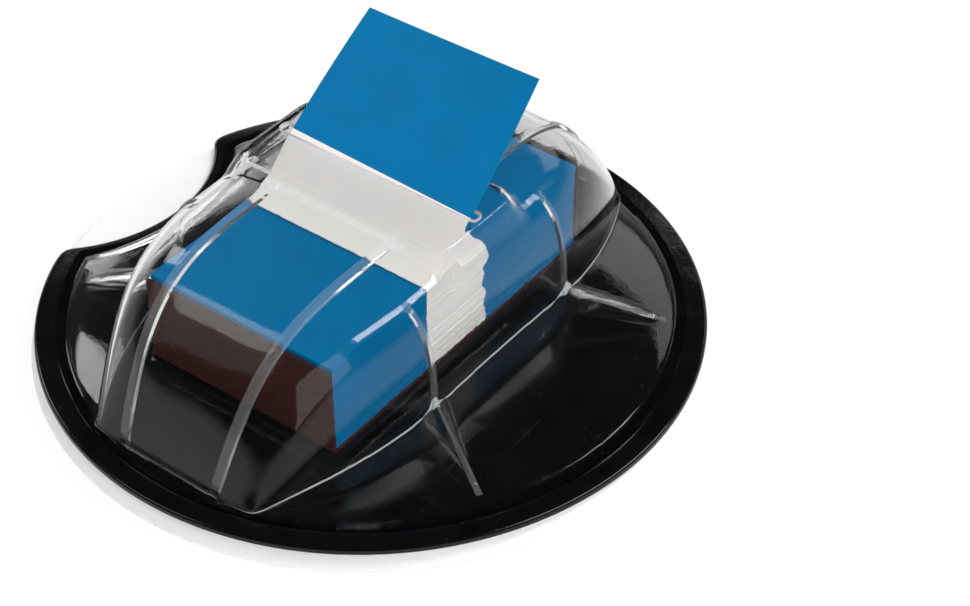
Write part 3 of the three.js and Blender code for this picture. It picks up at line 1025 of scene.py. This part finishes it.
def rib_marks():
    """For each grid point, how much of a rib's height it carries."""
    marks = np.zeros(grid.shape[:2])
    y = grid[:, MIDDLE, 1]
    for side in (-1, 1):
        columns = [MIDDLE + side * column for column in range(STRIP.start, STRIP.stop)]
        fade = smooth_step((hump_half_length - 0.55 * MM - np.abs(y)) / (0.5 * MM))
        in_boss = (y > BOSS_FRONT) & (y < BOSS_BACK)
        for column, share in zip(columns, (0.85, 1.0, 0.85)):
            marks[:, column] = np.maximum(marks[:, column], fade * share * ~in_boss)
    for row in range(skin_rows):
        beside = abs(abs(y[row]) - CROSS_RIB_PLACE) - CROSS_RIB_HALF
        near = 1 - smooth_step(beside / CROSS_RIB_SIDE)
        if near <= 0:
            continue
        for side in (-1, 1):
            for column in range(TOP_STEPS + 5, VALLEY + 1):
                spot = MIDDLE + side * column
                start = smooth_step((abs(grid[row, spot, 0]) - CROSS_RIB_START) / CROSS_RIB_FADE)
                marks[row, spot] = max(marks[row, spot], 0.75 * near * start)
    return marks


def boss_height(x, y):
    """Height of the raised plate round the slot, as a block with round corners and soft sides."""
    middle, half_depth = (BOSS_FRONT + BOSS_BACK) / 2, (BOSS_BACK - BOSS_FRONT) / 2
    over = np.stack([np.abs(x) - (BOSS_SIDE - BOSS_CORNER),
                     np.abs(y - middle) - (half_depth - BOSS_CORNER)], -1)
    outside = np.linalg.norm(np.maximum(over, 0), axis=-1)
    beyond = outside + np.minimum(over.max(-1), 0) - BOSS_CORNER
    return boss_top - np.maximum(beyond + BOSS_EASE, 0) * BOSS_SIDE_SLOPE


def raised(surface, normals):
    """The skin with ribs, fins and boss."""
    skin = surface + normals * (rib_marks() * RIB_HEIGHT)[:, :, None]
    column = np.abs(np.arange(skin_columns) - MIDDLE)
    on_shoulder = column >= VALLEY
    rise = fin_rise(surface[:, :, 0], surface[:, :, 1])
    skin[:, on_shoulder, 2] += rise[:, on_shoulder]
    return with_boss(skin, 0.0)


def with_boss(skin, inset):
    """The skin pushed up to the boss where the boss is the higher of the two."""
    lifted = boss_height(skin[:, :, 0] * (1 + inset / BOSS_SIDE), skin[:, :, 1]) - inset
    here = skin[:, :, 2]
    blended = (here + lifted + np.sqrt((here - lifted) ** 2 + BOSS_BLEND ** 2)) / 2
    on_boss = (here > hump_top - BOSS_DEPTH) & (lifted > here - BOSS_ROOT)
    skin[:, :, 2] = np.where(on_boss, blended, here)
    return skin


outer_skin = raised(grid.copy(), base_normals)
print("points lifted by a rib:", int((rib_marks() > 0).sum()))

# %% [markdown]
# ## A sheet with two sides
#
# A clear sheet only looks right if it has a thickness, because light bends once going in and
# once coming out. The inner skin is the smooth form moved inwards by the sheet's thickness,
# without the ribs, which are solid. The two skins are joined round the rim.

# %% Inner skin and shell


def inner_skin():
    moved = grid - base_normals * SHEET
    moved[:, :, 2] = np.maximum(moved[:, :, 2], plate_top)
    edge = np.ones(grid.shape[:2], bool)
    edge[1:-1, 1:-1] = False
    moved[edge] = grid[edge]
    moved[edge, 2] = plate_top
    return with_boss(moved, SHEET)


def shell_mesh(outer, inner):
    count_rows, count_columns = outer.shape[:2]
    size = count_rows * count_columns
    index = np.arange(size).reshape(count_rows, count_columns)
    a, b = index[:-1, :-1].ravel(), index[:-1, 1:].ravel()
    c, d = index[1:, 1:].ravel(), index[1:, :-1].ravel()
    faces = np.concatenate([np.stack([a, b, c, d], 1), np.stack([d, c, b, a], 1) + size])
    border = np.concatenate([index[0, :-1], index[:-1, -1], index[-1, :0:-1], index[:0:-1, 0]])
    following = np.roll(border, -1)
    sides = np.stack([following, border, border + size, following + size], 1)
    points = np.concatenate([outer.reshape(-1, 3), inner.reshape(-1, 3)])
    return points, np.concatenate([faces, sides]).tolist()


print("points in each skin:", outer_skin.shape[0] * outer_skin.shape[1])

# %% [markdown]
# ## The slot
#
# The slot has to be a clean cut through both skins, and a boolean is the surest way. The
# cutter is a long block with round ends. It carries the cover's materials, so the walls it
# leaves get the frosted one, as a cut edge has.

# %% Slot


def slot_cutter(materials):
    """Long block with round ends that stands through the boss and leaves frosted walls."""
    shape = rounded([
        (-SLOT_SIDE, SLOT_PLACE - SLOT_GAP / 2), (SLOT_SIDE, SLOT_PLACE - SLOT_GAP / 2),
        (SLOT_SIDE, SLOT_PLACE + SLOT_GAP / 2), (-SLOT_SIDE, SLOT_PLACE + SLOT_GAP / 2)],
        SLOT_CORNER)
    points, faces = stacked(shape, [(0, hump_top - SLOT_BELOW), (0, boss_top + SLOT_ABOVE)])
    return mesh_object("slot_cutter", points, faces, materials, [2] * len(faces))


def cut(obj, cutter):
    """Cuts one mesh from another, applies it and removes the cutter."""
    modifier = obj.modifiers.new("slot", "BOOLEAN")
    modifier.operation = "DIFFERENCE"
    modifier.solver = "EXACT"
    modifier.object = cutter
    bpy.context.view_layer.update()
    evaluated = obj.evaluated_get(bpy.context.evaluated_depsgraph_get())
    result = bpy.data.meshes.new_from_object(evaluated)
    obj.modifiers.clear()
    old = obj.data
    obj.data = result
    bpy.data.meshes.remove(old)
    bpy.data.objects.remove(cutter, do_unlink=True)


print("slot length in mm:", round(2 * SLOT_SIDE / MM, 1))

# %% [markdown]
# ## Clear plastic
#
# The finish is thin clear plastic with a faint grey tint. It bends light less than its true
# index would, because a thick index gives the many small ribs black outlines. Light has to get
# through it to the pad without the noise of caustics, so rays that only ask how much light
# arrives pass straight through, while the camera still sees bending and gloss.

# %% Clear finishes
CLEAR_IOR = 1.27


def clear_material(name, light, deep, see_through, gloss):
    """Clear plastic of which a share may scatter light, so that edges show as pale lines."""
    material, tree, shader = new_material(
        name, IOR=CLEAR_IOR, Transmission_Weight=see_through, Metallic=0.0)
    place = object_coordinates(tree)
    haze = ramp(tree, noise(tree, place, 140.0, 3.0), 0.35, 0.75, 0.0, 0.5)
    tint = blend_colours(tree, haze, light, deep)
    handled(tree, shader, tint, (0.8, 0.8, 0.8, 1), (1700.0, 0.5), (900.0, 1.0),
            gloss, gloss + 0.15)
    bumped(tree, shader, effect(tree, RIPPLE, Scale=90.0, Fine=0.05), 0.0006, 0.25)
    path = tree.nodes.new("ShaderNodeLightPath")
    through = arithmetic(
        tree, "MAXIMUM", path.outputs["Is Shadow Ray"], path.outputs["Is Diffuse Ray"])
    passing = tree.nodes.new("ShaderNodeBsdfTransparent")
    passing.inputs["Color"].default_value = (0.93, 0.94, 0.94, 1)
    mix = tree.nodes.new("ShaderNodeMixShader")
    tree.links.new(through, mix.inputs[0])
    tree.links.new(shader.outputs[0], mix.inputs[1])
    tree.links.new(passing.outputs[0], mix.inputs[2])
    tree.links.new(mix.outputs[0], tree.nodes["Material Output"].inputs["Surface"])
    return material


CLEAR = clear_material(
    "clear_thin_plastic", (0.86, 0.867, 0.861, 1), (0.82, 0.828, 0.821, 1), 1.0, 0.045)
EDGE = clear_material(
    "clear_plastic_edges", (0.88, 0.89, 0.89, 1), (0.80, 0.81, 0.81, 1), 0.93, 0.12)
FROSTED = clear_material(
    "frosted_plastic_edges", (0.88, 0.89, 0.89, 1), (0.80, 0.81, 0.81, 1), 0.5, 0.2)
print("clear finishes:", CLEAR.name, EDGE.name, FROSTED.name)

# %% [markdown]
# ## Which faces are edges
#
# A thin clear moulding is drawn by its edges: ribs and crests are a little milky, and the
# crease at the hump's foot is a bright line. Faces pick their finish by where they lie in
# the grid, so the lines stay exactly on the form.

# %% Faces that are edges
CREST_RUN_OUT = 0.3 * MM


def edge_faces(face_count):
    """Slots of the cover's materials: 1 on ribs and fin crests, 2 in the crease at the foot."""
    marks = rib_marks() > 0.3
    on_rib = marks[:-1, :-1] | marks[1:, :-1] | marks[:-1, 1:] | marks[1:, 1:]
    row_middles = (grid[:-1, MIDDLE, 1] + grid[1:, MIDDLE, 1]) / 2
    crest_rows = np.abs(np.abs(row_middles) - CROSS_RIB_PLACE) < CROSS_RIB_HALF
    reach = np.hypot(grid[:-1, :-1, 0], grid[:-1, :-1, 1]) < fin_foot_radius + CREST_RUN_OUT
    past_valley = np.abs(np.arange(skin_columns - 1) + 0.5 - MIDDLE) > VALLEY
    on_rib |= crest_rows[:, None] & past_valley[None, :] & reach
    outer_slots = on_rib.astype(int)
    body = slice(LEAD, skin_rows - LEAD - 1)
    for crease_column in (MIDDLE + VALLEY - 1, MIDDLE - VALLEY):
        outer_slots[body, crease_column] = 2
    slots = np.zeros(face_count, int)
    slots[:outer_slots.size] = outer_slots.ravel()
    return slots.tolist()


points, faces = shell_mesh(outer_skin, inner_skin())
cover_slots = edge_faces(len(faces))
print("faces on ribs and crests:", cover_slots.count(1), "in the crease:", cover_slots.count(2))

# %% [markdown]
# ## The cover itself
#
# Skins, finishes and slot come together here. The boolean leaves long flat faces on the boss,
# and smooth shading would bend them, so faces that lie level are shaded flat.

# %% Build the cover
COVER_SHARP = 38
LEVEL = 0.9999
finishes = [CLEAR, EDGE, FROSTED]
cover = mesh_object("clear_cover_shell", points, faces, finishes, cover_slots, sharp=COVER_SHARP)
cut(cover, slot_cutter(finishes))
cover.data.polygons.foreach_set("use_smooth", [
    face.normal.z < LEVEL for face in cover.data.polygons])
cover.data.set_sharp_from_angle(angle=math.radians(COVER_SHARP))
stand_for(cover, "clear_cover")

# %% [markdown]
# ## The pulled flag
#
# The top flag leaves the pad in an S-shaped curve, passes the slot and stands out as a stiff
# blue tab. Its middle line, in the side view, is one cubic curve up to the slot and a straight
# line beyond it. The curve's two inner points set how flat it leaves the pad and how straight
# it enters the slot.

# %% Middle line of the pulled flag
PULL_START = -5.9 * MM
TAB_REACH = 16.4 * MM
TAB_SLOPE = math.radians(40)
TAB_TWIST = 1.2 * MM
TAB_DRIFT = 0.35 * MM
FLAG_SHEET = 0.12 * MM
ACROSS = 24
SLOT_ROW = 32
TAB_ROWS = 30
LEAVING = 3.4 * MM
ENTERING = 4.2 * MM
FLAG_LIFT = 0.2 * MM
TAB_BOW = 0.25 * MM
COLOUR_SLANT = 0.3 * MM
slot_height = boss_top - SHEET / 2


def flag_line():
    """Middle line as (along Y, height), each with its share of the way out past the slot."""
    start = np.array([PULL_START, pad_high.z + FLAG_LIFT])
    slot_at = np.array([SLOT_PLACE, slot_height])
    tab = np.array([math.cos(TAB_SLOPE), math.sin(TAB_SLOPE)])
    reach = (start, start + [LEAVING, 0], slot_at - ENTERING * tab, slot_at)
    line = []
    for t in np.linspace(0, 1, SLOT_ROW + 1):
        weights = ((1 - t) ** 3, 3 * t * (1 - t) ** 2, 3 * t * t * (1 - t), t ** 3)
        line.append((sum(w * p for w, p in zip(weights, reach)), 0.0))
    for share in np.linspace(0, 1, TAB_ROWS + 1)[1:]:
        line.append((slot_at + tab * TAB_REACH * share, float(share)))
    return line


print("points on the flag's middle line:", len(flag_line()))

# %% [markdown]
# ## Twist, thickness and colour
#
# Points run across the middle line, turned a little more towards the tip, which gives the
# slight twist. Two such sheets, a hair apart, are joined round their rim, so the flag has a
# real thickness. Its faces below the slot are white, and the colour line slants a little,
# since the flag passes the slot at a slight angle.

# %% Build the pulled flag


def flag_mesh():
    line = flag_line()
    middles = np.array([point for point, _ in line])
    along = np.gradient(middles, axis=0)
    along /= np.linalg.norm(along, axis=1)[:, None]
    normals = np.stack([-along[:, 1], along[:, 0]], 1)
    half = pad_high.x
    sheets = []
    for face in (1, -1):
        sheet = []
        for place, (point, out) in enumerate(line):
            centre = TAB_DRIFT * (1 + out) * math.sqrt(place / (len(line) - 1))
            for step in range(ACROSS + 1):
                side = 2 * step / ACROSS - 1
                turn = side * TAB_TWIST * out ** 1.5
                bow = TAB_BOW * out * (1 - side ** 2)
                slant = -COLOUR_SLANT * side * math.exp(-((place - SLOT_ROW) / 5) ** 2)
                y, z = point + normals[place] * (face * FLAG_SHEET / 2 - bow) + [-turn, turn]
                y, z = (y, z) + along[place] * slant
                sheet.append((centre + side * half, y, z))
        sheets.append(np.array(sheet).reshape(len(line), ACROSS + 1, 3))
    points, faces = shell_mesh(sheets[0], sheets[1])
    slots = []
    for face in faces:
        row = min(index % (len(line) * (ACROSS + 1)) for index in face) // (ACROSS + 1)
        slots.append(1 if row < SLOT_ROW else 0)
    return points, faces, slots


points, faces, slots = flag_mesh()
flag = mesh_object("pulled_flag_sheet", points, faces, [BLUE, WHITE], slots, sharp=40)
stand_for(flag, "pulled_flag")

# %% [markdown]
# ## The table
#
# The dispenser is shown on white, as in a catalogue. The floor keeps a soft shadow, and looks
# white to the camera and in reflections by a plain glow of strength one mixed into its diffuse
# finish.

# %% Floor
FLOOR_HALF = 3.0
GLOW_SHARE = 0.9


def floor_material():
    material, tree, shader = new_material("white_table", Roughness=0.9)
    grain = ramp(tree, noise(tree, object_coordinates(tree), 8.0), 0.3, 0.7)
    tree.links.new(blend_colours(tree, grain, (0.95, 0.95, 0.95, 1), (0.93, 0.93, 0.93, 1)),
                   shader.inputs["Base Color"])
    path = tree.nodes.new("ShaderNodeLightPath")
    mirrored = arithmetic(
        tree, "MAXIMUM", path.outputs["Is Glossy Ray"], path.outputs["Is Transmission Ray"])
    seen = arithmetic(tree, "MAXIMUM", mirrored, path.outputs["Is Camera Ray"])
    glow = tree.nodes.new("ShaderNodeEmission")
    mix = tree.nodes.new("ShaderNodeMixShader")
    tree.links.new(arithmetic(tree, "MULTIPLY", seen, GLOW_SHARE), mix.inputs[0])
    tree.links.new(shader.outputs[0], mix.inputs[1])
    tree.links.new(glow.outputs[0], mix.inputs[2])
    tree.links.new(mix.outputs[0], tree.nodes["Material Output"].inputs["Surface"])
    return material


floor = mesh_object("table", [(-FLOOR_HALF, -FLOOR_HALF, 0), (FLOOR_HALF, -FLOOR_HALF, 0),
                              (FLOOR_HALF, FLOOR_HALF, 0), (-FLOOR_HALF, FLOOR_HALF, 0)],
                    [(0, 1, 2, 3)], [floor_material()])
print("the floor is", round(2 * FLOOR_HALF, 1), "m wide")

# %% [markdown]
# ## The room
#
# Glossy and clear things show the room around them. White walls light the hump's edges, and a
# dark ceiling keeps black plastic black from above. In front the walls end lower down, so the
# near end of the cover stays clear instead of mirroring white.

# %% World
WALL_ENDS = 0.16
CEILING_STARTS = 0.38
CEILING_TONE = 0.03
FRONT_STARTS = -0.35
FRONT_FULL = -0.7
FRONT_LOWERS = 3.0


def make_world():
    """White walls under a dark ceiling, by the height of the direction looked in."""
    world = bpy.data.worlds.new("room")
    world.use_nodes = True
    bpy.context.scene.world = world
    tree = world.node_tree
    direction = tree.nodes.new("ShaderNodeTexCoord").outputs["Generated"]
    parts = tree.nodes.new("ShaderNodeSeparateXYZ")
    tree.links.new(direction, parts.inputs[0])
    front = ramp(tree, parts.outputs["Y"], FRONT_STARTS, FRONT_FULL, 1.0, FRONT_LOWERS)
    height = arithmetic(tree, "MULTIPLY", parts.outputs["Z"], front)
    wall = ramp(tree, height, CEILING_STARTS, WALL_ENDS)
    colour = blend_colours(tree, wall, (*[CEILING_TONE] * 3, 1), (1, 1, 1, 1))
    tree.links.new(colour, tree.nodes["Background"].inputs["Color"])


make_world()
print("world:", bpy.context.scene.world.name)

# %% [markdown]
# ## Lamps
#
# On a clear moulding each soft lamp shows as one pale streak, so the lamps are placed by what
# they are mirrored in: the left wall, the shoulder by the notch, the back of the hump, and the
# long edge on the right, whose lamp is long in the same direction. Two large fill lamps give
# the level at which a colour renders as it is written, and stay out of the reflections.

# %% Lamps


def soft_lamp(name, place, target, width, depth, watts):
    """A rectangular lamp that faces a target, its width along X and its depth along Y."""
    data = bpy.data.lights.new(name, "AREA")
    data.shape = "RECTANGLE"
    data.size, data.size_y, data.energy = width, depth, watts
    lamp = bpy.data.objects.new(name, data)
    bpy.context.scene.collection.objects.link(lamp)
    lamp.location = place
    away = (Vector(place) - Vector(target)).normalized()
    across = Vector((0, 1, 0)).cross(away).normalized()
    lamp.rotation_euler = Matrix((across, away.cross(across), away)).transposed().to_euler()
    return lamp


LAMP_DISTANCE = 0.6
LOOKED_AT = (0, 0, 0.01)


def lamp_towards(name, direction, width, depth, watts, reflected=True):
    """A soft lamp in a direction from the dispenser; a fill lamp isn't seen in reflections."""
    place = Vector(direction).normalized() * LAMP_DISTANCE + Vector(LOOKED_AT)
    lamp = soft_lamp(name, place, LOOKED_AT, width, depth, watts)
    lamp.visible_glossy = reflected
    return lamp


lamp_towards("left_softbox", (-0.78, 0.12, 0.615), 0.12, 0.12, 0.34)
lamp_towards("upper_left_softbox", (-0.50, -0.36, 0.80), 0.20, 0.20, 0.42)
lamp_towards("back_softbox", (-0.12, 0.86, 0.48), 0.26, 0.12, 0.16)
lamp_towards("edge_softbox", (0.42, 0.40, 0.82), 0.10, 0.42, 2.3)
lamp_towards("left_back_softbox", (-0.775, 0.55, 0.315), 0.12, 0.30, 0.46)
lamp_towards("front_fill", (0.62, -0.50, 0.58), 0.5, 0.5, 2.75, reflected=False)
lamp_towards("left_fill", (-0.6, -0.5, 0.62), 0.4, 0.4, 0.68, reflected=False)
print("lamps:", len(bpy.data.lights))

# %% [markdown]
# ## The camera
#
# The view is a close three-quarter one, a little over forty degrees above the table. The
# camera's place was found by matching the round rims and the pad's width, so perspective is
# strong: it stands only about a quarter of a metre away.

# %% Camera
CAMERA_AZIMUTH = math.radians(37.1)
CAMERA_HEIGHT = math.radians(40.7)
CAMERA_DISTANCE = 0.270
CAMERA_TARGET = Vector((14.95 * MM, 1.67 * MM, 10.13 * MM))
FOCAL = 91.15

camera_data = bpy.data.cameras.new("camera")
camera_data.lens = FOCAL
camera_data.sensor_width = 36
camera_data.clip_start, camera_data.clip_end = 0.01, 20
camera = bpy.data.objects.new("camera", camera_data)
bpy.context.scene.collection.objects.link(camera)
towards = Vector((math.sin(CAMERA_AZIMUTH) * math.cos(CAMERA_HEIGHT),
                  -math.cos(CAMERA_AZIMUTH) * math.cos(CAMERA_HEIGHT), math.sin(CAMERA_HEIGHT)))
camera.location = CAMERA_TARGET + towards * CAMERA_DISTANCE
camera.rotation_euler = (-towards).to_track_quat("-Z", "Y").to_euler()
bpy.context.scene.camera = camera
bpy.context.scene.view_settings.view_transform = "Standard"
print("camera distance in mm:", round(CAMERA_DISTANCE / MM))
